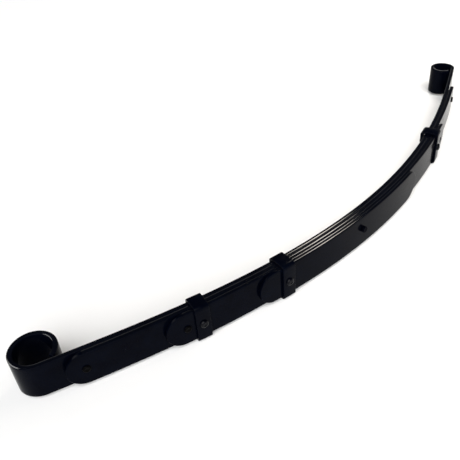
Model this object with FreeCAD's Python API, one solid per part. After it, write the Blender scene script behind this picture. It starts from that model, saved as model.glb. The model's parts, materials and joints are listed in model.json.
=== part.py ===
"""Four-leaf semi-elliptic spring, lying on its side, as separate pieces.

Frame: +X runs along the spring towards its longer, rear arm, +Y points to the concave side, and +Z
runs across the leaves' width. The origin is where the centre bolt's axis meets the seat face, which
is the convex face of the shortest leaf. All sizes are in millimetres.

Every leaf follows one reference line, the convex face of the main leaf. A station is a distance
along that line from the centre bolt, negative on the front arm. An offset is a distance from the
line, positive towards the concave side.
"""

import FreeCAD, Part
import math
import os

# leaves
WIDTH = 63.5                  # strip width of every leaf
MAIN_THICKNESS = 8.0          # main leaf and second leaf
SHORT_THICKNESS = 6.0         # third leaf and fourth leaf
PAINT_GAP = 0.05              # between leaves that lie on each other
FRONT_ARM = 601.8             # along the main leaf, from the centre bolt to the front eye
REAR_ARM = 706.2
FRONT_SEAT_RADIUS = 1250.0    # camber radius beside the seat; it eases to straight at the eye
REAR_SEAT_RADIUS = 1111.0
SECOND_TIPS = (-569.8, 617.2)
THIRD_TIPS = (-413.0, 417.2)
FOURTH_TIPS = (-245.0, 202.0)

# eyes, curled towards the concave side
FRONT_BORE_RADIUS = 30.0
REAR_BORE_RADIUS = 21.0
CURL_GAP = 2.5                # between the curl's end and the leaf it comes back to

# centre bolt and nut
BOLT_RISE = 4.5               # the bolt's axis above mid width
BOLT_RADIUS = 4.0
BOLT_HOLE_RADIUS = 4.25
BOLT_HEAD_RADIUS = 6.0
BOLT_HEAD_LENGTH = 6.5
BOLT_END_BEYOND_NUT = 3.0
NUT_ACROSS_FLATS = 13.0
NUT_HEIGHT = 6.5
HEAD_CHAMFER = 0.8

# rebound clips: a flat strap around the leaves, riveted to the leaf that it lies on
FRONT_INNER_CLIP_AT = -187.3  # on the fourth leaf
FRONT_OUTER_CLIP_AT = -350.3  # on the third leaf
REAR_CLIP_AT = 345.2          # on the third leaf
STRAP_WIDTH = 25.4
STRAP_THICKNESS = 4.5
STRAP_BEND = 0.8              # inner radius of the strap's bends
STRAP_SIDE_GAP = 0.5
STRAP_BASE_GAP = 0.2
FRONT_TOP_GAP = 1.0           # the leaves slide and open up under the bent ends
REAR_TOP_GAP = 5.0
STRAP_END_LENGTH = 20.0       # how far each bent end reaches over the main leaf
RIVET_RADIUS = 4.0
RIVET_HOLE_RADIUS = 4.1
RIVET_HEAD_RADIUS = 7.5
RIVET_HEAD_HEIGHT = 4.0
RIVET_TAIL_RADIUS = 6.5       # countersunk into the leaf's concave face
RIVET_TAIL_DEPTH = 2.5

# tip liners: a plastic pad between two leaves, held by a stud through the shorter one
LINER_THICKNESS = 1.5         # opening that a liner fills, less its two gaps
LINER_GAP = 0.1               # above and below the pad
LINER_PAD_RADIUS = 23.0
LINER_STUD_RADIUS = 6.5
LINER_HOLE_RADIUS = 6.8
LINER_STUD_RISE = 3.0
LINER_STUD_ROUND = 2.0
SECOND_LINERS_AT = (-538.3, 585.7)
THIRD_LINERS_AT = (-376.8, 377.2)
SECOND_OPENS_FROM = (-258.0, 292.0)   # from here to its liner, a leaf parts from the next one
THIRD_OPENS_FROM = (-158.0, 172.0)

# derived
HALF_WIDTH = WIDTH / 2
MID_Z = -BOLT_RISE
SEAT_OFFSET = -(MAIN_THICKNESS + 2 * SHORT_THICKNESS + 3 * PAINT_GAP)
STATION_STEP = 15.0           # spacing of the points that a leaf's faces pass through
MARGIN = 5.0                  # how far a cutting tool passes the solid that it cuts
NEAR = 0.1                    # an edge this near a plane lies on it
Y_AXIS = FreeCAD.Vector(0, 1, 0)
Z_AXIS = FreeCAD.Vector(0, 0, 1)


def heading(station):
    """Angle of the reference line from +X. Its curvature falls to zero at the eyes as a parabola."""
    arm, radius = (REAR_ARM, REAR_SEAT_RADIUS) if station > 0 else (FRONT_ARM, FRONT_SEAT_RADIUS)
    return (station - station ** 3 / (3 * arm ** 2)) / radius


def line_point(station):
    """Point of the reference line, by the midpoint rule from the centre bolt."""
    steps = max(1, round(abs(station)))
    length = station / steps
    x = 0.0
    y = -SEAT_OFFSET
    for i in range(steps):
        angle = heading((i + 0.5) * length)
        x += length * math.cos(angle)
        y += length * math.sin(angle)
    return FreeCAD.Vector(x, y, MID_Z)


def placement(station, offset=0.0):
    """Local frame of a station: x along the leaf, y towards the concave side, z across."""
    angle = heading(station)
    normal = FreeCAD.Vector(-math.sin(angle), math.cos(angle), 0)
    turn = FreeCAD.Rotation(Z_AXIS, math.degrees(angle))
    return FreeCAD.Placement(line_point(station) + normal * offset, turn)


def placed(shape, station, offset=0.0):
    copy = shape.copy()
    copy.Placement = placement(station, offset).multiply(copy.Placement)
    return copy


def opening(station, opens_from, liners_at):
    """Gap that a liner holds open, growing smoothly from where the leaves part to the liner."""
    side = 1 if station > 0 else 0
    share = (station - opens_from[side]) / (liners_at[side] - opens_from[side])
    share = min(max(share, 0.0), 1.0)
    return LINER_THICKNESS * share ** 2 * (3 - 2 * share)


def main_top(station):
    return MAIN_THICKNESS


def main_bottom(station):
    return 0.0


def second_top(station):
    return -PAINT_GAP - opening(station, SECOND_OPENS_FROM, SECOND_LINERS_AT)


def second_bottom(station):
    return second_top(station) - MAIN_THICKNESS


def third_top(station):
    return second_bottom(station) - PAINT_GAP - opening(station, THIRD_OPENS_FROM, THIRD_LINERS_AT)


def third_bottom(station):
    return third_top(station) - SHORT_THICKNESS


def fourth_top(station):
    return third_bottom(station) - PAINT_GAP


def fourth_bottom(station):
    return fourth_top(station) - SHORT_THICKNESS


def face_curve(first, last, offset_of):
    """Smooth curve at a varying offset from the reference line, between two stations."""
    count = max(2, math.ceil((last - first) / STATION_STEP))
    stations = [first + (last - first) * i / count for i in range(count + 1)]
    points = [placement(s, offset_of(s)).Base for s in stations]
    tangents = [FreeCAD.Vector(math.cos(heading(s)), math.sin(heading(s)), 0) for s in (first, last)]
    curve = Part.BSplineCurve()
    curve.interpolate(Points=points, InitialTangent=tangents[0], FinalTangent=tangents[1])
    return curve


def across(edges, width=WIDTH):
    """Closed outline at mid width, extruded both ways along Z."""
    wire = Part.Wire(Part.__sortEdges__(edges))
    face = Part.Face(wire)
    face.translate(FreeCAD.Vector(0, 0, -width / 2))
    return face.extrude(FreeCAD.Vector(0, 0, width))


def strip(first, last, top_of, bottom_of):
    """Plain square-ended strip between two stations."""
    top = face_curve(first, last, top_of)
    bottom = face_curve(first, last, bottom_of)
    ends = [Part.LineSegment(top.value(p), bottom.value(q)) for p, q in (
        (top.FirstParameter, bottom.FirstParameter),
        (top.LastParameter, bottom.LastParameter),
    )]
    return across([part.toShape() for part in [top, bottom] + ends])


def cylinder_along_y(radius, low, high):
    return Part.makeCylinder(radius, high - low, FreeCAD.Vector(0, low, 0), Y_AXIS)


def round_tip_cutter(tip):
    """What a full-radius end takes off a square-ended strip."""
    outward = math.copysign(1, tip)
    centre = tip - outward * HALF_WIDTH
    length = HALF_WIDTH + MARGIN
    depth = -2 * SEAT_OFFSET
    corner = FreeCAD.Vector(0 if outward > 0 else -length, -depth, -HALF_WIDTH - MARGIN)
    block = Part.makeBox(length, 2 * depth, WIDTH + 2 * MARGIN, corner)
    return placed(block.cut(cylinder_along_y(HALF_WIDTH, -depth, depth)), centre)


def drill(radius, station, rise=0.0):
    depth = -2 * SEAT_OFFSET
    tool = cylinder_along_y(radius, -depth, depth)
    tool.translate(FreeCAD.Vector(0, 0, rise))
    return placed(tool, station)


def eye_arcs(arm_end, bore_radius):
    """Outer arc, inner arc and end line of an eye that continues the leaf's two faces."""
    outer_radius = bore_radius + MAIN_THICKNESS
    centre = placement(arm_end, outer_radius).Base
    start = heading(arm_end) - math.pi / 2
    meets_leaf = math.acos((outer_radius - MAIN_THICKNESS) / outer_radius)
    wrap = 2 * math.pi - meets_leaf - CURL_GAP / outer_radius
    end = start + math.copysign(wrap, arm_end)
    arcs = []
    ends = []
    for radius in (outer_radius, bore_radius):
        circle = Part.Circle(centre, Z_AXIS, radius)
        arcs.append(Part.ArcOfCircle(circle, min(start, end), max(start, end)))
        ends.append(centre + FreeCAD.Vector(math.cos(end), math.sin(end), 0) * radius)
    return [arc.toShape() for arc in arcs] + [Part.LineSegment(*ends).toShape()]


def make_main_leaf():
    edges = [face_curve(-FRONT_ARM, REAR_ARM, face).toShape() for face in (main_top, main_bottom)]
    edges += eye_arcs(-FRONT_ARM, FRONT_BORE_RADIUS)
    edges += eye_arcs(REAR_ARM, REAR_BORE_RADIUS)
    return across(edges).cut(drill(BOLT_HOLE_RADIUS, 0.0, BOLT_RISE))


def make_short_leaf(tips, top_of, bottom_of, holes):
    """A leaf with full-radius ends. holes lists (radius, station) of its rivets or liners."""
    leaf = strip(tips[0], tips[1], top_of, bottom_of)
    tools = [round_tip_cutter(tip) for tip in tips]
    tools.append(drill(BOLT_HOLE_RADIUS, 0.0, BOLT_RISE))
    tools += [drill(radius, station) for radius, station in holes]
    return leaf.cut(tools)


def rivet_tail(station, top, extra=0.0):
    """The countersunk end of a rivet, or with extra the seat that it lies in."""
    radius = RIVET_RADIUS + extra
    flare = RIVET_TAIL_RADIUS + extra
    start = FreeCAD.Vector(0, top - RIVET_TAIL_DEPTH, 0)
    cone = Part.makeCone(radius, flare, RIVET_TAIL_DEPTH, start, Y_AXIS)
    return placed(cone, station)


def rivet_seat(station, top_of):
    clearance = RIVET_HOLE_RADIUS - RIVET_RADIUS
    return rivet_tail(station, top_of(station) + clearance, clearance)


def make_clip(station, bottom_of, top_gap):
    """Flat strap around the leaves, with its two ends bent over the main leaf."""
    base = bottom_of(station) - STRAP_BASE_GAP
    top = main_top(station) + top_gap
    side = HALF_WIDTH + STRAP_SIDE_GAP
    thick = STRAP_THICKNESS
    inside = rounded_bar(base, top, side, STRAP_BEND)
    outside = rounded_bar(base - thick, top + thick, side + thick, STRAP_BEND + thick)
    mouth = side - STRAP_END_LENGTH
    corner = FreeCAD.Vector(-STRAP_WIDTH, top - MARGIN, -mouth)
    gap = Part.makeBox(2 * STRAP_WIDTH, thick + 2 * MARGIN, 2 * mouth, corner)
    clip = placed(outside.cut([inside, gap]), station)
    return clip.cut(drill(RIVET_HOLE_RADIUS, station))


def rounded_bar(low, high, side, radius):
    """Bar of the strap's width along x, from y low to high and z -side to side, long edges rounded."""
    corner = FreeCAD.Vector(-STRAP_WIDTH / 2, low, -side)
    bar = Part.makeBox(STRAP_WIDTH, high - low, 2 * side, corner)
    long_edges = [e for e in bar.Edges if abs(e.tangentAt(e.FirstParameter).x) > 0.5]
    return bar.makeFillet(radius, long_edges)


def domed_head(radius, height, face):
    """Low dome standing on the plane y = face, towards -y."""
    sphere_radius = (radius ** 2 + height ** 2) / (2 * height)
    ball = Part.makeSphere(sphere_radius, FreeCAD.Vector(0, face - height + sphere_radius, 0))
    return ball.common(cylinder_along_y(radius, face - height, face))


def make_rivet(station, bottom_of, top_of):
    """Domed head on the clip, shank through clip and leaf, countersunk tail flush with the leaf."""
    face = bottom_of(station) - STRAP_BASE_GAP - STRAP_THICKNESS
    top = top_of(station)
    shank = cylinder_along_y(RIVET_RADIUS, face, top)
    body = shank.fuse(domed_head(RIVET_HEAD_RADIUS, RIVET_HEAD_HEIGHT, face))
    return placed(body, station).fuse(rivet_tail(station, top)).removeSplitter()


def make_liner(station, above_bottom_of, top_of, bottom_of):
    """Pad between two leaves with a stud through the shorter leaf, its round end standing out."""
    first = station - LINER_PAD_RADIUS - MARGIN
    last = station + LINER_PAD_RADIUS + MARGIN

    def pad_top(s):
        return above_bottom_of(s) - LINER_GAP

    def pad_bottom(s):
        return top_of(s) + LINER_GAP

    pad = strip(first, last, pad_top, pad_bottom).common(drill(LINER_PAD_RADIUS, station))
    low = bottom_of(station) - LINER_STUD_RISE
    high = (pad_top(station) + pad_bottom(station)) / 2
    stud = cylinder_along_y(LINER_STUD_RADIUS, low, high)
    stud = stud.makeFillet(LINER_STUD_ROUND, [e for e in stud.Edges if e.BoundBox.YMax < low + NEAR])
    return pad.fuse(placed(stud, station)).removeSplitter()


def make_centre_bolt():
    """Plain cylindrical head on the seat face, shank up through the leaves and the nut."""
    end = main_top(0) - SEAT_OFFSET + NUT_HEIGHT + BOLT_END_BEYOND_NUT
    head = cylinder_along_y(BOLT_HEAD_RADIUS, -BOLT_HEAD_LENGTH, 0)
    bolt = head.fuse(cylinder_along_y(BOLT_RADIUS, 0, end)).removeSplitter()
    rims = [e for e in bolt.Edges if e.BoundBox.YMax < -BOLT_HEAD_LENGTH + NEAR]
    rims += [e for e in bolt.Edges if e.BoundBox.YMin > end - NEAR]
    return bolt.makeChamfer(HEAD_CHAMFER, rims)


def make_nut():
    """Hexagon nut on the concave face of the main leaf, its outer corners chamfered at 45 degrees."""
    face = main_top(0) - SEAT_OFFSET + PAINT_GAP
    seat = FreeCAD.Vector(0, face, 0)
    flat_radius = NUT_ACROSS_FLATS / 2
    corner_radius = NUT_ACROSS_FLATS / math.sqrt(3)
    corners = []
    for i in range(7):
        angle = math.radians(60 * i + 30)
        corners.append(seat + FreeCAD.Vector(math.cos(angle), 0, math.sin(angle)) * corner_radius)
    prism = Part.Face(Part.makePolygon(corners)).extrude(FreeCAD.Vector(0, NUT_HEIGHT, 0))
    cone = Part.makeCone(flat_radius + NUT_HEIGHT, flat_radius, NUT_HEIGHT, seat, Y_AXIS)
    bore = cylinder_along_y(BOLT_RADIUS + PAINT_GAP, face - MARGIN, face + NUT_HEIGHT + MARGIN)
    return prism.common(cone).cut(bore)


def make_leaves():
    liner_holes = [(LINER_HOLE_RADIUS, s) for s in SECOND_LINERS_AT]
    second = make_short_leaf(SECOND_TIPS, second_top, second_bottom, liner_holes)
    third_holes = [(LINER_HOLE_RADIUS, s) for s in THIRD_LINERS_AT]
    third_clips = (FRONT_OUTER_CLIP_AT, REAR_CLIP_AT)
    third_holes += [(RIVET_HOLE_RADIUS, s) for s in third_clips]
    third = make_short_leaf(THIRD_TIPS, third_top, third_bottom, third_holes)
    fourth_holes = [(RIVET_HOLE_RADIUS, FRONT_INNER_CLIP_AT)]
    fourth = make_short_leaf(FOURTH_TIPS, fourth_top, fourth_bottom, fourth_holes)
    return {
        "main_leaf": make_main_leaf(),
        "second_leaf": second,
        "third_leaf": third.cut([rivet_seat(s, third_top) for s in third_clips]),
        "fourth_leaf": fourth.cut(rivet_seat(FRONT_INNER_CLIP_AT, fourth_top)),
    }


def make_clips():
    return {
        "front_inner_clip": make_clip(FRONT_INNER_CLIP_AT, fourth_bottom, FRONT_TOP_GAP),
        "front_inner_clip_rivet": make_rivet(FRONT_INNER_CLIP_AT, fourth_bottom, fourth_top),
        "front_outer_clip": make_clip(FRONT_OUTER_CLIP_AT, third_bottom, FRONT_TOP_GAP),
        "front_outer_clip_rivet": make_rivet(FRONT_OUTER_CLIP_AT, third_bottom, third_top),
        "rear_clip": make_clip(REAR_CLIP_AT, third_bottom, REAR_TOP_GAP),
        "rear_clip_rivet": make_rivet(REAR_CLIP_AT, third_bottom, third_top),
    }


def make_liners():
    liners = {}
    for side, second_at, third_at in zip(("front", "rear"), SECOND_LINERS_AT, THIRD_LINERS_AT):
        liners[f"second_leaf_{side}_liner"] = make_liner(
            second_at, main_bottom, second_top, second_bottom)
        liners[f"third_leaf_{side}_liner"] = make_liner(
            third_at, second_bottom, third_top, third_bottom)
    return liners


def main():
    os.makedirs("parts", exist_ok=True)
    nodes = make_leaves()
    nodes["centre_bolt"] = make_centre_bolt()
    nodes["centre_bolt_nut"] = make_nut()
    nodes.update(make_clips())
    nodes.update(make_liners())
    for name, shape in nodes.items():
        if not shape.isValid() or len(shape.Solids) != 1:
            raise ValueError(f"{name} isn't one valid solid")
        shape.exportStep(f"parts/{name}.step")
        box = shape.BoundBox
        print(f"{name}: {shape.Volume / 1000:.1f} cm3, x {box.XMin:.1f} to {box.XMax:.1f}, "
              f"y {box.YMin:.1f} to {box.YMax:.1f}, z {box.ZMin:.1f} to {box.ZMax:.1f}")


main()
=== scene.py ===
"""Looks of a four-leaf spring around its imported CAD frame. All lengths are in metres.

The part's frame: +X along the spring towards its longer, rear arm, +Y to the concave side, +Z across
the leaves. Every piece is first made straight, in (station, offset, across) coordinates. A station is
a distance along the convex face of the main leaf, an offset is a height over that face, and across
counts from mid width. The Line class then bends the piece onto the CAD's own curve.
"""

import json
import math

import bmesh
import bpy
import numpy as np
from mathutils import Matrix, Vector


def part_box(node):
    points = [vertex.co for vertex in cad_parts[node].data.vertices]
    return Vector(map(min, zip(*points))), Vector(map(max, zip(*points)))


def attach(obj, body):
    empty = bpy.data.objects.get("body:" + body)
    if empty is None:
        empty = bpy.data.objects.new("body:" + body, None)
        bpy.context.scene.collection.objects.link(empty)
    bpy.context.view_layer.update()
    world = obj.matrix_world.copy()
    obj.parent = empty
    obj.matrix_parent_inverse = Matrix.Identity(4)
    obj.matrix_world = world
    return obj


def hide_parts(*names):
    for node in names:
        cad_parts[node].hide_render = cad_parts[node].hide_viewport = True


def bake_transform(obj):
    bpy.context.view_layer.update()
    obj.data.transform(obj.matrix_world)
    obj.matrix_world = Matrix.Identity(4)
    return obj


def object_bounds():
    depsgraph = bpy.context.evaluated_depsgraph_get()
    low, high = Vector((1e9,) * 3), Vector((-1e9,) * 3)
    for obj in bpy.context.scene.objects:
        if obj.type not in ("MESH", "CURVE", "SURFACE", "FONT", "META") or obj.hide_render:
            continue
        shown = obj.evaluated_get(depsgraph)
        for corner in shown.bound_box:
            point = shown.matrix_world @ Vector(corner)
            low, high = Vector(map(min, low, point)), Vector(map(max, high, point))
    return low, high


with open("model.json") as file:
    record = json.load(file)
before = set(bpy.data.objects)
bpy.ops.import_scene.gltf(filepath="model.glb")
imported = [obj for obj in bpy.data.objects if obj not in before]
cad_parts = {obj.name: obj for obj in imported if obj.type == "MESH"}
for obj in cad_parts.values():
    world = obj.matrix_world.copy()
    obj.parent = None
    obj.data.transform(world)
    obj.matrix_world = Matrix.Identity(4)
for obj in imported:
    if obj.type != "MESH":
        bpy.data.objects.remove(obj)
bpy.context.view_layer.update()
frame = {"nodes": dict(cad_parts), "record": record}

MM = 0.001

# camera, as a place and three angles in degrees
CAMERA_PLACE = (-0.73444, -0.48378, 0.67503)
CAMERA_YAW = 40.668
CAMERA_PITCH = 37.478
CAMERA_ROLL = -5.643
CAMERA_LENS = 46.26
CAMERA_SENSOR = 36
CAMERA_NEAR = 0.01

# leaves
LEAF_STEP = 4 * MM            # between a leaf's sections
ACROSS_STEPS = 14             # quads over a leaf's width
SIDE_RADIUS_SHARE = 1.7       # a rolled flat's sides bulge with this share of its thickness
CORNER_RADIUS = 0.8 * MM
SIDE_STEPS = 6
CORNER_STEPS = 4
TIP_STEPS = 22
END_STEPS = 4
END_ROUNDING = 0.9            # of the corner radius, at a square end
CURL_GAP = 2.5 * MM           # between a curl's end and the leaf it comes back to
SMOOTHING = 24 * MM           # over which a leaf's offset from the line is evened out

# clips
STRAP_THICKNESS = 4.5 * MM
STRAP_BEND = 2.2 * MM         # inner radius of the strap's bends
STRAP_CORNER = 0.9 * MM
STRAP_CORNER_STEPS = 4
STRAP_BEND_STEPS = 8
STRAP_END_LENGTH = 20 * MM
STRAP_END_STEPS = 6
STRAP_SIDE_STEPS = 8
STRAP_FACE_STEPS = 16
STRAP_CAP_SHARES = (0.25, 0.6, 0.9)   # of the corner, where its end rounding has a section

# centre bolt and its nut
BOLT_RADIUS = 4 * MM
BOLT_HEAD_EDGE = 0.8 * MM
BOLT_EDGE_STEPS = 6
BOLT_CROWN_RISE = 0.05 * MM   # the head's end is very slightly domed
BOLT_CROWN_MIDDLE = 0.4 * MM
BOLT_CROWN_INSET = 1.28 * MM
BOLT_SEAT_CHAMFER = (0.4 * MM, 0.3 * MM)  # along and into the head, where it meets the leaf
BOLT_POINT_LENGTH = 0.9 * MM  # over which the thread's crests are taken down
BOLT_POINT_SLOPE = 0.9
BOLT_POINT_INSET = 1.2 * MM
THREAD_PITCH = 1.25 * MM
THREAD_DEPTH = 0.55 * MM
THREAD_STEPS = 10             # rings to a turn
NUT_LEVELS = 15
NUT_CHAMFER_SLOPE = 1.6
NUT_FACE_INSET = 0.35 * MM    # of the round top face inside the flats
NUT_CORNER_BLUNT = 0.12 * MM
NUT_CLEARANCE = 0.05 * MM
NUT_SEAT_SINK = 0.4 * MM      # countersinks of the bore
NUT_TOP_SINK = 0.6 * MM

# rivets and liners
RIVET_RADIUS = 4 * MM
RIVET_HEAD_HEIGHT = 4 * MM
RIVET_HEAD_STEPS = 12
RIVET_DIMPLE_RADIUS = 3.4 * MM    # set into the head by the riveting tool
RIVET_DIMPLE_DEPTH = 1.2 * MM
RIVET_LIP = 0.5 * MM
RIVET_TAIL_RADIUS = 6.5 * MM
RIVET_TAIL_DEPTH = 2.5 * MM
PAD_THICKNESS = 1.3 * MM
PAD_EDGE = 0.3 * MM
STUD_RADIUS = 6.5 * MM
STUD_ROUND = 2 * MM
STUD_ROUND_STEPS = 8
STUD_DIMPLE_RADIUS = 3.6 * MM
STUD_DIMPLE_DEPTH = 0.8 * MM
DIMPLE_STEPS = 8
DIMPLE_START = 89.5           # degrees, so that a dimple's first ring is just off its axis
SEGMENTS = 96                 # around a turned piece

# meshes
JOINED_UNDER = 0.002 * MM
DISSOLVED_UNDER = 0.001 * MM
FACING = 0.5                  # a leaf's wide face has at least this much of its normal along Y,
TILT = 0.2                    # and less than this much along Z
SHARP_ANGLE = 35
BOLT_SHARP_ANGLE = 50         # keeps the thread's flanks smooth
NUT_SHARP_ANGLE = 28

# paint: a low index keeps the wide faces as dark as they are over a white floor
FACE_IOR = 1.09
CLIP_IOR = 1.10
SIDE_IOR = 1.45
FASTENER_IOR = 1.20
PLASTIC_IOR = 1.08
BOLT_SIDE_IOR = 1.32
BOLT_END_IOR = 1.04          # the end of the head is duller than its side
PAINT_DARK = (0.12, 0.16, 0.35)   # of the slot's colour, where the coat is thickest
PAINT_LIGHT = (0.3, 0.4, 0.65)
PLASTIC_DARK = 0.15           # likewise, of the slot's colour
PLASTIC_LIGHT = 0.4
# dust specks over the leaf paint; where they thicken towards the rear arm they are also a painted sheen,
# lightening that part of the face as a grazing reflection would
DUST_AND_SHEEN_COLOUR = (0.16, 0.14, 0.12)
DUST_AND_SHEEN_COVER = 0.09
DUST_AND_SHEEN_FROM = -0.1              # x from which dust, and a painted sheen with it, thickens along the spring,
DUST_AND_SHEEN_MOST = 0.50              # x where it is thickest,
DUST_AND_SHEEN_TO = 0.62                # and x where it ends, before the rear eye

# grain of the finishes, in noise cells per metre
WAVE_GRAIN = 26
COAT_GRAIN = 38
GLOSS_GRAIN = 70
DUST_GRAIN = 160
PEEL_GRAIN = 420
GRIT_GRAIN = 1500
GRIT_HEIGHT = 0.8             # of the orange peel's
MOULD_SHEEN_GRAIN = 120
MOULD_SPECKLE_GRAIN = 300
MOULD_GRAIN = 900
MOULD_HEIGHT = 0.03 * MM
MOULD_ROUGHNESS = (0.22, 0.40)

# noise values between which a finish changes over
COAT_CHANGE = (0.30, 0.72)
DUST_CHANGE = (0.45, 0.70)
DUST_THIN = 0.1               # dust left between its specks
GRIT_CHANGE = (0.66, 0.80)
MOULD_CHANGE = (0.35, 0.70)

# floor and light
FLOOR_REACH = 15.0
FLOOR_COLOUR = (0.93, 0.93, 0.93)
FLOOR_ROUGHNESS = 0.95
SKY_SIDE = (-0.55, -0.45, 0.70)   # the soft ceiling stands on this side
SKY_ANGLE = 70                # degrees that it fills, which makes its shadows soft
SKY_POWER = 4.0
KEY_PLACE = (1.247, 0.803, 1.639)
KEY_TARGET = (-0.115, 0.02, 0.0)
KEY_SIZE = 0.38
KEY_POWER = 7
KEY_COLOUR = (1.0, 0.94, 0.84)
CARD_PLACE = (-1.25, 1.55, 1.55)  # only seen as a reflection, on what faces up and to the front eye
CARD_TARGET = (0.0, 0.0, 0.0)
CARD_SIZE = 1.0
CARD_POWER = 18
WHITE = (1.0, 1.0, 1.0)
POOL_PLACE = (0.62, -0.25, 1.0)   # lights the floor beside the rear arm
POOL_TARGET = (0.58, -0.1, 0.0)
POOL_SIZE = 0.7
POOL_POWER = 5
POOL_COLOUR = (1.0, 0.93, 0.84)
ROOM_DARK = 0.04
ROOM_PALE = 0.95
ROOM_EDGES = (0.20, 0.38)     # heights on the unit sphere between which pale turns into dark


def mount(name):
    return next(m for m in frame["record"]["mounts"] if m["name"] == name)


def cad_vertices(node):
    return np.array([v.co for v in frame["nodes"][node].data.vertices])


def face_vertices(node, side):
    """CAD vertices on a leaf's convex face (side -1) or concave face (side 1)."""
    mesh = frame["nodes"][node].data
    found = set()
    for polygon in mesh.polygons:
        if polygon.normal.y * side > FACING and abs(polygon.normal.z) < TILT:
            found.update(polygon.vertices)
    return np.array([mesh.vertices[i].co for i in sorted(found)])


class Line:
    """The main leaf's convex face, read from the CAD mesh and carried on around both eyes."""

    ORDER = 8                 # of the polynomial through each arm's vertices
    SAMPLE = 0.4 * MM
    CLEAR_OF_CURL = 0.01 * MM    # beyond the curl's outer radius, a vertex belongs to the arm
    SPARE = 1.05              # arms are sampled to this share of the eye's distance, then cut

    def __init__(self):
        low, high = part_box("main_leaf")
        self.middle = (low.z + high.z) / 2
        self.half_width = (high.z - low.z) / 2
        convex = face_vertices("main_leaf", -1)
        concave = face_vertices("main_leaf", 1)
        self.seat_height = convex[:, 1].min()
        self.thickness = concave[np.argmin(np.abs(concave[:, 0])), 1] - self.seat_height
        front = self.arm(convex, mount("front_eye"), -1)
        rear = self.arm(convex, mount("rear_eye"), 1)
        self.front_arm, self.rear_arm = front["length"], rear["length"]
        self.first, self.last = -front["end"], rear["end"]
        self.table = np.concatenate([front["table"][:0:-1], rear["table"]])

    def arm(self, convex, eye, side):
        """Samples (station, x, y, heading) from the centre bolt to the end of an eye's curl."""
        centre = np.array(eye["pos_m"][:2])
        bore = eye["dims"]["r_mm"] * MM
        outer = bore + self.thickness
        away = np.linalg.norm(convex[:, :2] - centre, axis=1)
        reach = convex[:, 0] * side
        on_leaf = (away > outer + self.CLEAR_OF_CURL) & (reach > 0) & (reach < centre[0] * side)
        points = convex[on_leaf]
        powers = range(2, self.ORDER + 1)
        scale = abs(centre[0])
        basis = np.array([(points[:, 0] / scale) ** k for k in powers]).T
        factors = np.linalg.lstsq(basis, points[:, 1] - self.seat_height, rcond=None)[0]
        x = side * np.arange(0, scale * self.SPARE, self.SAMPLE / 2)
        y = self.seat_height + sum(f * (x / scale) ** k for f, k in zip(factors, powers))
        slope = sum(f * k * (x / scale) ** (k - 1) / scale for f, k in zip(factors, powers))
        heading = np.arctan(slope)
        beyond = (x - centre[0]) * np.cos(heading) + (y - centre[1]) * np.sin(heading)
        stop = int(np.argmax(side * beyond > 0))
        x, y, heading = x[:stop], y[:stop], heading[:stop]
        steps = np.hypot(np.diff(x), np.diff(y))
        station = side * np.concatenate([[0], np.cumsum(steps)])
        wrap = 2 * math.pi - math.acos(bore / outer) - CURL_GAP / outer
        turns = np.linspace(0, wrap, int(wrap * outer / self.SAMPLE))[1:]
        curl = heading[-1] + side * turns
        rows = np.stack([station, x, y, heading], axis=1)
        curl_rows = np.stack([
            station[-1] + side * turns * outer,
            centre[0] + outer * np.sin(curl),
            centre[1] - outer * np.cos(curl),
            curl,
        ], axis=1)
        return {
            "length": abs(station[-1]),
            "end": abs(station[-1]) + wrap * outer,
            "table": np.concatenate([rows, curl_rows]),
        }

    def at(self, station):
        """(x, y, heading) of the line at each station."""
        return [np.interp(station, self.table[:, 0], self.table[:, i]) for i in (1, 2, 3)]

    def bend(self, straight):
        """Straight (station, offset, across) points in the part's frame."""
        x, y, heading = self.at(straight[:, 0])
        offset = straight[:, 1]
        return np.stack([
            x - np.sin(heading) * offset,
            y + np.cos(heading) * offset,
            self.middle + straight[:, 2],
        ], axis=1)

    def unbend(self, points):
        """Points beside the arms as straight (station, offset, across)."""
        on_arms = np.abs(self.table[:, 0] - (self.rear_arm - self.front_arm) / 2)
        table = self.table[on_arms < (self.rear_arm + self.front_arm) / 2]
        nearest = [np.argmin(np.hypot(table[:, 1] - p[0], table[:, 2] - p[1])) for p in points]
        station, x, y, heading = table[nearest].T
        dx, dy = points[:, 0] - x, points[:, 1] - y
        along = dx * np.cos(heading) + dy * np.sin(heading)
        offset = dy * np.cos(heading) - dx * np.sin(heading)
        return np.stack([station + along, offset, points[:, 2] - self.middle], axis=1)

    def extent(self, node):
        """A small node's middle station, and its lowest and highest corner beside that station."""
        straight = self.unbend(cad_vertices(node))
        low, high = straight.min(axis=0), straight.max(axis=0)
        station = (low[0] + high[0]) / 2
        x, y, heading = (float(v) for v in self.at(station))
        points = cad_vertices(node)
        dx, dy = points[:, 0] - x, points[:, 1] - y
        along = dx * math.cos(heading) + dy * math.sin(heading)
        offset = dy * math.cos(heading) - dx * math.sin(heading)
        beside = np.stack([along, offset, points[:, 2] - self.middle], axis=1)
        return station, beside.min(axis=0), beside.max(axis=0)


line = Line()


# meshes

def mesh_object(name, vertices, faces, sharp_angle=SHARP_ANGLE, finishes=None):
    """finishes gives each face's material, where a piece has more than one."""
    mesh = bpy.data.meshes.new(name)
    mesh.from_pydata([tuple(v) for v in vertices], [], faces)
    if finishes:
        mesh.polygons.foreach_set("material_index", finishes)
    mesh.polygons.foreach_set("use_smooth", [True] * len(mesh.polygons))
    mesh.update()
    made = bpy.data.objects.new(name, mesh)
    bpy.context.collection.objects.link(made)
    weld(mesh)
    mesh.set_sharp_from_angle(angle=math.radians(sharp_angle))
    return made


def weld(mesh):
    """Joins vertices that coincide and turns all faces outward."""
    work = bmesh.new()
    work.from_mesh(mesh)
    bmesh.ops.remove_doubles(work, verts=work.verts, dist=JOINED_UNDER)
    bmesh.ops.dissolve_degenerate(work, edges=work.edges, dist=DISSOLVED_UNDER)
    bmesh.ops.recalc_face_normals(work, faces=work.faces)
    work.to_mesh(mesh)
    work.free()


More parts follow.
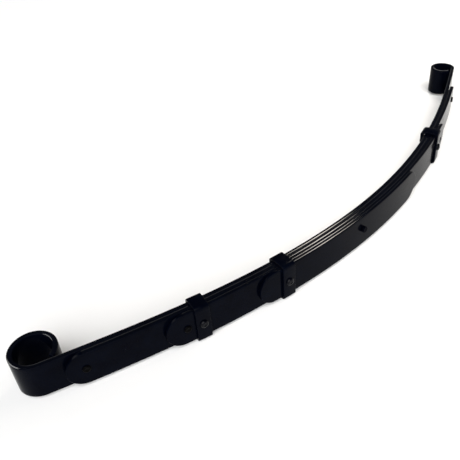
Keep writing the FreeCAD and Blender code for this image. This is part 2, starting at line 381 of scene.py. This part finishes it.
def skin(loops, cap_first, cap_last):
    """Vertices and faces of a tube through loops of equal length."""
    size = len(loops[0])
    vertices = np.concatenate(loops)
    faces = []
    for i in range(len(loops) - 1):
        for j in range(size):
            k = (j + 1) % size
            faces.append((i * size + j, i * size + k, (i + 1) * size + k, (i + 1) * size + j))
    if cap_first:
        faces.append(tuple(range(size)))
    if cap_last:
        faces.append(tuple(len(vertices) - 1 - j for j in range(size)))
    return vertices, faces


# leaves

def side_profile(thickness, inset=0.0):
    """Rounded side of a rolled flat: (depth in from the side, height over the convex face) pairs."""
    corner = CORNER_RADIUS - inset
    radius = SIDE_RADIUS_SHARE * thickness - inset
    reach = thickness / 2 - inset - corner
    middle = thickness / 2
    swing = math.asin(reach / (radius - corner))
    corner_depth = SIDE_RADIUS_SHARE * thickness - (radius - corner) * math.cos(swing)
    points = []
    for i in range(CORNER_STEPS):
        angle = math.pi / 2 - (math.pi / 2 - swing) * i / CORNER_STEPS
        points.append((corner_depth - corner * math.cos(angle), middle - reach - corner * math.sin(angle)))
    for i in range(SIDE_STEPS + 1):
        angle = swing - 2 * swing * i / SIDE_STEPS
        depth = SIDE_RADIUS_SHARE * thickness - radius * math.cos(angle)
        points.append((depth, middle - radius * math.sin(angle)))
    mirrored = [(d, thickness - h) for d, h in points[:CORNER_STEPS]]
    return points + mirrored[::-1]


def leaf_loop(station, low, high, inward, inset=0.0):
    """One section. inward(depth) gives how far a point at that depth moves back, and its half width."""
    profile = side_profile(high - low, inset)
    sides = []
    for sign in (1, -1):
        sides.append([(station + inward(d)[0], low + h, sign * inward(d)[1]) for d, h in profile])
    top, bottom = sides
    shares = [k / ACROSS_STEPS for k in range(1, ACROSS_STEPS)]
    high_fill = [lerp(top[-1], bottom[-1], share) for share in shares]
    low_fill = [lerp(bottom[0], top[0], share) for share in shares]
    return np.array(top + high_fill + bottom[::-1] + low_fill)


def lerp(a, b, share):
    return tuple(p + (q - p) * share for p, q in zip(a, b))


def straight_loop(station, low, high, inset=0.0):
    half = line.half_width
    return leaf_loop(station, low, high, lambda d: (0.0, half - d), inset)


def tip_loop(centre, side, angle, low, high):
    """Section of a full-radius tip: its outline point is at the given angle from the tip's apex."""
    half = line.half_width

    def inward(depth):
        radius = half - depth
        return side * radius * math.cos(angle), radius * math.sin(angle)

    return leaf_loop(centre, low, high, inward)


def leaf_object(name, side, end, low_of, high_of, round_tip):
    """Half of a leaf, from the centre bolt to its end."""
    reach = abs(end) - (line.half_width if round_tip else CORNER_RADIUS)
    count = math.ceil(reach / LEAF_STEP)
    stations = [side * reach * i / count for i in range(count + 1)]
    loops = [straight_loop(s, low_of(s), high_of(s)) for s in stations]
    if round_tip:
        centre = side * reach
        for i in range(1, TIP_STEPS + 1):
            angle = math.pi / 2 * (1 - i / TIP_STEPS)
            s = centre + side * line.half_width * math.cos(angle)
            loops.append(tip_loop(centre, side, angle, low_of(s), high_of(s)))
    else:
        for i in range(1, END_STEPS + 1):
            angle = math.pi / 2 * i / END_STEPS
            inset = END_ROUNDING * CORNER_RADIUS * (1 - math.cos(angle))
            s = side * (reach + CORNER_RADIUS * math.sin(angle))
            loops.append(straight_loop(s, low_of(s), high_of(s), inset))
    vertices, faces = skin(loops, True, not round_tip)
    return mesh_object(name, line.bend(vertices), faces, finishes=leaf_finishes(count, len(faces)))


def leaf_finishes(straight_count, face_count):
    """1 for the rolled sides along a leaf's straight part, 0 for its wide faces, corners and end."""
    side = [0] * CORNER_STEPS + [1] * SIDE_STEPS + [0] * CORNER_STEPS
    finishes = (side + [0] * ACROSS_STEPS) * 2 * straight_count
    return finishes + [0] * (face_count - len(finishes))


def evened(stations, offsets):
    """A leaf face's offset from the line, as a smooth function of the station."""
    order = np.argsort(stations)
    grid = np.arange(stations.min(), stations.max() + MM, MM)
    values = np.interp(grid, stations[order], offsets[order])
    half = int(SMOOTHING / MM / 2)
    window = np.hanning(2 * half + 3)[1:-1]
    padded = np.pad(values, half, mode="edge")
    even = np.convolve(padded, window / window.sum(), mode="valid")
    return lambda s: float(np.interp(s, grid, even))


def short_leaf(node):
    """Both halves of a leaf with round tips, with its faces and ends where the CAD has them."""
    faces = [line.unbend(face_vertices(node, side)) for side in (-1, 1)]
    low_of, high_of = (evened(f[:, 0], f[:, 1]) for f in faces)
    everything = np.concatenate(faces)
    ends = {"front": everything[:, 0].min(), "rear": everything[:, 0].max()}
    leaf_halves(node, ends, low_of, high_of, True)


def leaf_halves(node, ends, low_of, high_of, round_tips):
    """A leaf's front and rear half, in place of its CAD node."""
    for arm, side in (("front", -1), ("rear", 1)):
        half = leaf_object(f"{node}_{arm}_half", side, ends[arm], low_of, high_of, round_tips)
        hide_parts(node)
        half.data.materials.append(paints["leaf_paint"])
        half.data.materials.append(paints["leaf_side_paint"])
        blend_arm(half)


def blend_arm(piece):
    """Bakes a half leaf's placement into its mesh."""
    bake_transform(piece)


# pieces turned about an axis across the leaves' faces

def turned(name, rows, station, across=0.0, closed=False, sharp_angle=SHARP_ANGLE, shiny_row=None):
    """rows are (offset, radius) pairs, where a radius may be a function of the angle.

    The faces after row shiny_row get the piece's second material.
    """
    loops = []
    angles = [2 * math.pi * i / SEGMENTS for i in range(SEGMENTS)]
    for offset, radius in rows:
        ring = []
        for a in angles:
            r = radius(a) if callable(radius) else radius
            ring.append((station + r * math.cos(a), offset, across + r * math.sin(a)))
        loops.append(np.array(ring))
    if closed:
        loops.append(loops[0])
    vertices, faces = skin(loops, not closed, not closed)
    finishes = None
    if shiny_row is not None:
        finishes = [int(i // SEGMENTS == shiny_row) for i in range(len(faces))]
    return mesh_object(name, line.bend(vertices), faces, sharp_angle, finishes)


def arc(centre, radius, first, last, steps):
    """(offset, radius) rows along an arc in a turned piece's half plane, from angle to angle."""
    rows = []
    for i in range(steps + 1):
        angle = math.radians(first + (last - first) * i / steps)
        rows.append((centre[0] + radius * math.sin(angle), centre[1] + radius * math.cos(angle)))
    return rows


def finish_piece(piece, node, slot, body):
    """Puts a piece in its node's place, with the slot's paint, on one body."""
    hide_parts(node)
    piece.data.materials.append(paints[slot])
    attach(piece, body)


def body_holding(node):
    bodies = frame["record"]["behaviour"]["bodies"]
    return next(body for body, nodes in bodies.items() if node in nodes)


def dimple(face, radius, depth):
    """Rows of a shallow bowl sunk into a round face, from its middle to its rim."""
    ball = (radius ** 2 + depth ** 2) / (2 * depth)
    swing = math.degrees(math.asin(radius / ball))
    return arc((face + depth - ball, 0), ball, DIMPLE_START, 90 - swing, DIMPLE_STEPS)


def make_rivet(node):
    """Rounded head with a dimple in its crown, shank and formed tail."""
    station, low, high = line.extent(node)
    crown = RIVET_DIMPLE_RADIUS + RIVET_LIP
    slope = (high[0] - low[0]) / 2 - crown
    rows = dimple(low[1], RIVET_DIMPLE_RADIUS, RIVET_DIMPLE_DEPTH)
    for i in range(RIVET_HEAD_STEPS + 1):
        angle = math.pi / 2 * i / RIVET_HEAD_STEPS
        rows.append((low[1] + RIVET_HEAD_HEIGHT * (1 - math.cos(angle)), crown + slope * math.sin(angle)))
    rows += [
        (low[1] + RIVET_HEAD_HEIGHT, RIVET_RADIUS),
        (high[1] - RIVET_TAIL_DEPTH, RIVET_RADIUS),
        (high[1], RIVET_TAIL_RADIUS),
    ]
    rivet = turned(f"{node}_formed", rows, station)
    finish_piece(rivet, node, "fastener_paint", body_holding(node))


def make_liner(node):
    """Thin pad between two leaves, and the dimpled round end of its stud."""
    station, low, high = line.extent(node)
    pad_radius = (high[0] - low[0]) / 2
    pad_low = high[1] - PAD_THICKNESS
    rows = dimple(low[1], STUD_DIMPLE_RADIUS, STUD_DIMPLE_DEPTH)
    rows += arc((low[1] + STUD_ROUND, STUD_RADIUS - STUD_ROUND), STUD_ROUND, -90, 0, STUD_ROUND_STEPS)
    rows += [
        (pad_low, STUD_RADIUS),
        (pad_low, pad_radius - PAD_EDGE),
        (pad_low + PAD_EDGE, pad_radius),
        (high[1] - PAD_EDGE, pad_radius),
        (high[1], pad_radius - PAD_EDGE),
    ]
    liner = turned(f"{node}_moulded", rows, station)
    finish_piece(liner, node, "liner_plastic", body_holding(node))


def make_bolt(node):
    """Cylindrical head, shank, and a thread that shows past the nut."""
    low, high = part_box(node)
    rise = (low.z + high.z) / 2 - line.middle
    seat = -line.seat_height
    head_radius = (high.x - low.x) / 2
    top = low.y - line.seat_height
    end = high.y - line.seat_height
    edge = BOLT_HEAD_EDGE
    rows = [(top, BOLT_CROWN_MIDDLE), (top + BOLT_CROWN_RISE, head_radius - BOLT_CROWN_INSET)]
    rows += arc((top + edge, head_radius - edge), edge, -90, 0, BOLT_EDGE_STEPS)
    side_row = len(rows) - 1
    chamfer_height, chamfer_depth = BOLT_SEAT_CHAMFER
    rows += [
        (seat - chamfer_height, head_radius),
        (seat, head_radius - chamfer_depth),
        (seat, BOLT_RADIUS),
    ]
    thread_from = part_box("centre_bolt_nut")[0].y - line.seat_height
    step = THREAD_PITCH / THREAD_STEPS
    rows.append((thread_from, BOLT_RADIUS))
    for i in range(1, int((end - thread_from) / step)):
        offset = thread_from + i * step
        rows.append((offset, thread_radius(offset, end)))
    rows.append((end, BOLT_RADIUS - BOLT_POINT_INSET))
    bolt = turned(f"{node}_turned", rows, 0.0, rise, sharp_angle=BOLT_SHARP_ANGLE, shiny_row=side_row)
    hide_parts(node)
    bolt.data.materials.append(paints["bolt_end_paint"])
    bolt.data.materials.append(paints["bolt_side_paint"])
    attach(bolt, body_holding(node))


def thread_radius(offset, end):
    """Helical thread, with its crests taken down by the chamfer at the bolt's end."""
    limit = BOLT_RADIUS - max(0.0, BOLT_POINT_LENGTH - (end - offset)) * BOLT_POINT_SLOPE

    def radius(angle):
        turn = (offset / THREAD_PITCH - angle / (2 * math.pi)) % 1
        depth = abs(2 * turn - 1)
        return min(BOLT_RADIUS - THREAD_DEPTH * depth, limit)

    return radius


def make_nut(node):
    """Hexagon nut with chamfered corners and a countersunk thread."""
    low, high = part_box(node)
    rise = (low.z + high.z) / 2 - line.middle
    bottom = low.y - line.seat_height
    top = high.y - line.seat_height
    corner = (high.z - low.z) / 2
    flat = corner * math.cos(math.pi / 6)
    bore = BOLT_RADIUS + NUT_CLEARANCE

    def hexagon(height):
        """Outline at a height, held in by the corner chamfer under the top and a smaller one below."""
        from_top = flat + (top - height) * NUT_CHAMFER_SLOPE
        from_bottom = flat + NUT_FACE_INSET + (height - bottom) * NUT_CHAMFER_SLOPE

        def radius(angle):
            beside_flat = (angle + math.pi / 6) % (math.pi / 3) - math.pi / 6
            side = flat / math.cos(beside_flat)
            return min(side, from_top, from_bottom, corner - NUT_CORNER_BLUNT)

        return radius

    rows = [(bottom, bore + NUT_SEAT_SINK)]
    rows += [(h, hexagon(h)) for h in np.linspace(bottom, top, NUT_LEVELS)]
    rows += [
        (top, flat - NUT_FACE_INSET),
        (top, bore + NUT_TOP_SINK),
        (top - NUT_TOP_SINK, bore),
        (bottom + NUT_SEAT_SINK, bore),
    ]
    nut = turned(f"{node}_formed", rows, 0.0, rise, closed=True, sharp_angle=NUT_SHARP_ANGLE)
    finish_piece(nut, node, "fastener_paint", body_holding(node))


# clips

def strap_section(half_length, thickness, corner, inset=0.0):
    """Rounded section of a flat strap: (along, height) pairs around it."""
    points = []
    for cx, cy, start in ((1, 1, 0), (-1, 1, 90), (-1, -1, 180), (1, -1, 270)):
        for i in range(STRAP_CORNER_STEPS + 1):
            angle = math.radians(start + 90 * i / STRAP_CORNER_STEPS)
            points.append((
                cx * (half_length - corner) + (corner - inset) * math.cos(angle),
                cy * (thickness / 2 - corner) + (corner - inset) * math.sin(angle),
            ))
    return points


def clip_path(low, high, side, mouth, radius):
    """Middle line of the strap from one bent end round to the other, as (offset, across, direction)."""
    path = []

    def run(start, end, direction, steps):
        for i in range(steps + 1):
            spot = lerp(start, end, i / steps)
            path.append((spot[0], spot[1], direction))

    run((high, mouth), (high, side - radius), math.radians(90), STRAP_END_STEPS)
    corners = [
        ((high - radius, side - radius), 90),
        ((low + radius, side - radius), 0),
        ((low + radius, -side + radius), -90),
        ((high - radius, -side + radius), -180),
    ]
    runs = [
        ((high - radius, side), (low + radius, side), 0, STRAP_SIDE_STEPS),
        ((low, side - radius), (low, -side + radius), -90, STRAP_FACE_STEPS),
        ((low + radius, -side), (high - radius, -side), -180, STRAP_SIDE_STEPS),
        ((high, -side + radius), (high, -mouth), -270, STRAP_END_STEPS),
    ]
    for (centre, start_angle), (start, end, direction, steps) in zip(corners, runs):
        for i in range(1, STRAP_BEND_STEPS):
            angle = math.radians(start_angle - 90 * i / STRAP_BEND_STEPS)
            path.append((
                centre[0] + radius * math.sin(angle),
                centre[1] + radius * math.cos(angle),
                angle,
            ))
        run(start, end, math.radians(direction), steps)
    return path


def make_clip(node):
    """Flat strap bent round the leaves, with softly rounded edges and its two ends bent over."""
    station, low, high = line.extent(node)
    half_length = (high[0] - low[0]) / 2
    half = STRAP_THICKNESS / 2
    side = high[2] - half
    mouth = high[2] - STRAP_THICKNESS - STRAP_END_LENGTH
    path = clip_path(low[1] + half, high[1] - half, side, mouth, STRAP_BEND + half)
    loops = []
    for offset, across, outward in path:
        loops.append(strap_loop(offset, across, outward, half_length, 0.0))
    first, last = path[0], path[-1]
    front_caps = []
    back_caps = []
    for share in STRAP_CAP_SHARES:
        inset = STRAP_CORNER * (1 - math.sqrt(1 - share ** 2))
        push = STRAP_CORNER * share
        front_caps.append(strap_loop(first[0], first[1] - push, first[2], half_length, inset))
        back_caps.append(strap_loop(last[0], last[1] + push, last[2], half_length, inset))
    loops = front_caps[::-1] + loops + back_caps
    vertices, faces = skin(loops, True, True)
    vertices[:, 0] += station
    rigid = rigidly(vertices, station)
    clip = mesh_object(f"{node}_bent_strap", rigid, faces)
    finish_piece(clip, node, "clip_paint", body_holding(node))


def strap_loop(offset, across, outward, half_length, inset):
    """Strap section at a path point. outward is the angle of its outer face from the across axis."""
    points = []
    for along, height in strap_section(half_length, STRAP_THICKNESS, STRAP_CORNER, inset):
        points.append((
            along,
            offset + height * math.sin(outward),
            across + height * math.cos(outward),
        ))
    return np.array(points)


def rigidly(points, station):
    """Places straight points beside one station without bending them."""
    x, y, heading = (float(v) for v in line.at(station))
    along = points[:, 0] - station
    return np.stack([
        x + along * math.cos(heading) - points[:, 1] * math.sin(heading),
        y + along * math.sin(heading) + points[:, 1] * math.cos(heading),
        line.middle + points[:, 2],
    ], axis=1)


# materials

def nodes_of(owner):
    """Nodes and links of a material or a world."""
    owner.use_nodes = True
    return owner.node_tree.nodes, owner.node_tree.links


def noise(tree, grain, detail, roughness=0.5):
    """Noise in the part's own metres, so that its grain is the same size everywhere."""
    nodes, links = tree
    place = nodes.new("ShaderNodeTexCoord")
    texture = nodes.new("ShaderNodeTexNoise")
    texture.inputs["Scale"].default_value = grain
    texture.inputs["Detail"].default_value = detail
    texture.inputs["Roughness"].default_value = roughness
    links.new(place.outputs["Object"], texture.inputs["Vector"])
    return texture.outputs["Fac"]


def ramp(tree, value, stops, colours):
    """Colour that changes over from the first to the second between two values."""
    nodes, links = tree
    made = nodes.new("ShaderNodeValToRGB")
    for element, position, colour in zip(made.color_ramp.elements, stops, colours):
        element.position = position
        element.color = (*colour, 1)
    links.new(value, made.inputs["Fac"])
    return made.outputs["Color"]


def to_range(tree, value, low, high, first=0.3, last=0.7):
    """Goes evenly from low, where the value is first, to high, where it is last."""
    nodes, links = tree
    made = nodes.new("ShaderNodeMapRange")
    made.inputs["From Min"].default_value = first
    made.inputs["From Max"].default_value = last
    made.inputs["To Min"].default_value = low
    made.inputs["To Max"].default_value = high
    links.new(value, made.inputs["Value"])
    return made.outputs["Result"]


def bump(tree, height, distance, under=None):
    nodes, links = tree
    made = nodes.new("ShaderNodeBump")
    made.inputs["Distance"].default_value = distance
    made.inputs["Strength"].default_value = 1.0
    links.new(height, made.inputs["Height"])
    if under:
        links.new(under, made.inputs["Normal"])
    return made.outputs["Normal"]


def black_paint(name, colour, ior, rough, peel, waves, with_dust_and_sheen=False):
    """Thick black paint over steel: slow waves, orange peel, fine grit, and perhaps settled dust,
    thickened towards the rear arm into a painted sheen.
    """
    material = bpy.data.materials.new(name)
    tree = nodes_of(material)
    nodes, links = tree
    shader = nodes["Principled BSDF"]
    shader.inputs["IOR"].default_value = ior
    darker = tuple(c * share for c, share in zip(colour, PAINT_DARK))
    lighter = tuple(c * share for c, share in zip(colour, PAINT_LIGHT))
    coat = ramp(tree, noise(tree, COAT_GRAIN, detail=4), COAT_CHANGE, (darker, lighter))
    # dust specks, thickened along the spring into a painted sheen on the rear arm's face
    if with_dust_and_sheen:
        specks = noise(tree, DUST_GRAIN, detail=6, roughness=0.7)
        specks = to_range(tree, specks, DUST_THIN, 1.0, *DUST_CHANGE)
        coat = mixed(tree, coat, DUST_AND_SHEEN_COLOUR, product(tree, specks, dust_and_sheen_share(tree)))
    links.new(coat, shader.inputs["Base Color"])
    patches = noise(tree, GLOSS_GRAIN, detail=5, roughness=0.6)
    links.new(to_range(tree, patches, *rough), shader.inputs["Roughness"])
    slow = bump(tree, noise(tree, WAVE_GRAIN, detail=2), waves)
    orange_peel = bump(tree, noise(tree, PEEL_GRAIN, detail=2), peel, under=slow)
    grit = to_range(tree, noise(tree, GRIT_GRAIN, detail=1), 0.0, 1.0, *GRIT_CHANGE)
    links.new(bump(tree, grit, peel * GRIT_HEIGHT, under=orange_peel), shader.inputs["Normal"])
    return material


def dust_and_sheen_share(tree):
    """Share of the paint under dust and a painted sheen, by the place along the spring: rising towards the
    rear arm and gone before the rear eye.
    """
    nodes, links = tree
    place = nodes.new("ShaderNodeTexCoord")
    apart = nodes.new("ShaderNodeSeparateXYZ")
    links.new(place.outputs["Object"], apart.inputs["Vector"])
    rising = to_range(tree, apart.outputs["X"], 0.0, DUST_AND_SHEEN_COVER, DUST_AND_SHEEN_FROM, DUST_AND_SHEEN_MOST)
    falling = to_range(tree, apart.outputs["X"], 1.0, 0.0, DUST_AND_SHEEN_MOST, DUST_AND_SHEEN_TO)
    return product(tree, rising, falling)


def product(tree, first, second):
    nodes, links = tree
    made = nodes.new("ShaderNodeMath")
    made.operation = "MULTIPLY"
    links.new(first, made.inputs[0])
    links.new(second, made.inputs[1])
    return made.outputs[0]


def mixed(tree, colour, other, share):
    nodes, links = tree
    made = nodes.new("ShaderNodeMix")
    made.data_type = "RGBA"
    links.new(share, made.inputs["Factor"])
    first, second = [socket for socket in made.inputs if socket.type == "RGBA"]
    links.new(colour, first)
    second.default_value = (*other, 1)
    return next(socket for socket in made.outputs if socket.type == "RGBA")


def moulded_plastic(name, colour):
    """Satin plastic with a faint speckle and a fine moulded grain."""
    material = bpy.data.materials.new(name)
    tree = nodes_of(material)
    nodes, links = tree
    shader = nodes["Principled BSDF"]
    shader.inputs["IOR"].default_value = PLASTIC_IOR
    darker = tuple(c * PLASTIC_DARK for c in colour)
    lighter = tuple(c * PLASTIC_LIGHT for c in colour)
    speckle = ramp(tree, noise(tree, MOULD_SPECKLE_GRAIN, detail=3), MOULD_CHANGE, (darker, lighter))
    links.new(speckle, shader.inputs["Base Color"])
    sheen = to_range(tree, noise(tree, MOULD_SHEEN_GRAIN, detail=4), *MOULD_ROUGHNESS)
    links.new(sheen, shader.inputs["Roughness"])
    links.new(bump(tree, noise(tree, MOULD_GRAIN, detail=2), MOULD_HEIGHT), shader.inputs["Normal"])
    return material


def slot_colour(slot):
    material = next(m for m in frame["record"]["materials"] if m["slot"] == slot)
    return tuple(material["base_color"][:3])


paints = {
    "leaf_paint": black_paint(
        "leaf_paint", slot_colour("leaf_paint"), FACE_IOR,
        rough=(0.10, 0.20), peel=0.03 * MM, waves=0.10 * MM, with_dust_and_sheen=True),
    "leaf_side_paint": black_paint(
        "leaf_side_paint", slot_colour("leaf_paint"), SIDE_IOR,
        rough=(0.03, 0.08), peel=0.02 * MM, waves=0.06 * MM),
    "clip_paint": black_paint(
        "clip_paint", slot_colour("clip_paint"), CLIP_IOR,
        rough=(0.12, 0.24), peel=0.03 * MM, waves=0.05 * MM),
    "fastener_paint": black_paint(
        "fastener_paint", slot_colour("fastener_paint"), FASTENER_IOR,
        rough=(0.10, 0.20), peel=0.03 * MM, waves=0.03 * MM),
    "bolt_side_paint": black_paint(
        "bolt_side_paint", slot_colour("fastener_paint"), BOLT_SIDE_IOR,
        rough=(0.06, 0.12), peel=0.01 * MM, waves=0.02 * MM),
    "bolt_end_paint": black_paint(
        "bolt_end_paint", slot_colour("fastener_paint"), BOLT_END_IOR,
        rough=(0.15, 0.30), peel=0.03 * MM, waves=0.03 * MM),
    "liner_plastic": moulded_plastic("liner_plastic", slot_colour("liner_plastic")),
}


# camera, floor and lights

def make_camera():
    yaw, pitch, roll = (math.radians(a) for a in (CAMERA_YAW, CAMERA_PITCH, CAMERA_ROLL))
    level = Vector((math.cos(yaw), -math.sin(yaw), 0))
    forward = Vector((math.sin(yaw) * math.cos(pitch), math.cos(yaw) * math.cos(pitch), -math.sin(pitch)))
    upright = level.cross(forward)
    right = level * math.cos(roll) + upright * math.sin(roll)
    up = right.cross(forward)
    turn = Matrix((right, up, -forward)).transposed().to_4x4()
    camera = bpy.data.objects.new("camera", bpy.data.cameras.new("camera"))
    camera.data.lens = CAMERA_LENS
    camera.data.sensor_width = CAMERA_SENSOR
    camera.data.clip_start = CAMERA_NEAR
    camera.matrix_world = Matrix.Translation(CAMERA_PLACE) @ turn
    bpy.context.collection.objects.link(camera)
    bpy.context.scene.camera = camera


def make_floor():
    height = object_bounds()[0].z
    quarters = ((-1, -1), (1, -1), (1, 1), (-1, 1))
    corners = [(i * FLOOR_REACH, j * FLOOR_REACH, height) for i, j in quarters]
    mesh = bpy.data.meshes.new("floor")
    mesh.from_pydata(corners, [], [(0, 1, 2, 3)])
    floor = bpy.data.objects.new("floor", mesh)
    bpy.context.collection.objects.link(floor)
    material = bpy.data.materials.new("floor_paper")
    tree = nodes_of(material)
    shader = tree[0]["Principled BSDF"]
    shader.inputs["Base Color"].default_value = (*FLOOR_COLOUR, 1)
    shader.inputs["Roughness"].default_value = FLOOR_ROUGHNESS
    shader.inputs["Specular IOR Level"].default_value = 0.0
    mesh.materials.append(material)


def soft_box(name, place, target, size, power, colour):
    """Square area light at a place, facing a target."""
    light = bpy.data.lights.new(name, "AREA")
    light.shape = "SQUARE"
    light.size = size
    light.energy = power
    light.color = colour
    made = bpy.data.objects.new(name, light)
    direction = Vector(target) - Vector(place)
    made.rotation_euler = direction.to_track_quat("-Z", "Y").to_euler()
    made.location = place
    bpy.context.collection.objects.link(made)
    return made


def make_room():
    """Pale walls near the horizon and a dark ceiling; make_sky puts the soft light in it."""
    world = bpy.data.worlds.new("room")
    nodes, links = tree = nodes_of(world)
    place = nodes.new("ShaderNodeTexCoord")
    apart = nodes.new("ShaderNodeSeparateXYZ")
    links.new(place.outputs["Generated"], apart.inputs["Vector"])
    walls = to_range(tree, apart.outputs["Z"], ROOM_PALE, ROOM_DARK, *ROOM_EDGES)
    links.new(walls, nodes["Background"].inputs["Strength"])
    nodes["Background"].inputs["Color"].default_value = (*WHITE, 1)
    bpy.context.scene.world = world


def make_sky():
    light = bpy.data.lights.new("ceiling", "SUN")
    light.energy = SKY_POWER
    light.angle = math.radians(SKY_ANGLE)
    made = bpy.data.objects.new("ceiling", light)
    made.rotation_euler = (-Vector(SKY_SIDE)).to_track_quat("-Z", "Y").to_euler()
    bpy.context.collection.objects.link(made)


def make_light():
    make_room()
    make_sky()
    soft_box("key", KEY_PLACE, KEY_TARGET, KEY_SIZE, KEY_POWER, KEY_COLOUR)
    pool = soft_box("pool", POOL_PLACE, POOL_TARGET, POOL_SIZE, POOL_POWER, POOL_COLOUR)
    pool.visible_glossy = False
    card = soft_box("card", CARD_PLACE, CARD_TARGET, CARD_SIZE, CARD_POWER, WHITE)
    card.visible_diffuse = False
    bpy.context.scene.view_settings.view_transform = "Standard"


make_floor()
make_camera()
make_light()

leaf_halves(
    "main_leaf", {"front": line.first, "rear": line.last},
    lambda s: 0.0, lambda s: line.thickness, False)
for leaf in ("second_leaf", "third_leaf", "fourth_leaf"):
    short_leaf(leaf)
for clip in ("front_inner_clip", "front_outer_clip", "rear_clip"):
    make_clip(clip)
    make_rivet(f"{clip}_rivet")
for leaf in ("second_leaf", "third_leaf"):
    for arm in ("front", "rear"):
        make_liner(f"{leaf}_{arm}_liner")
make_bolt("centre_bolt")
make_nut("centre_bolt_nut")
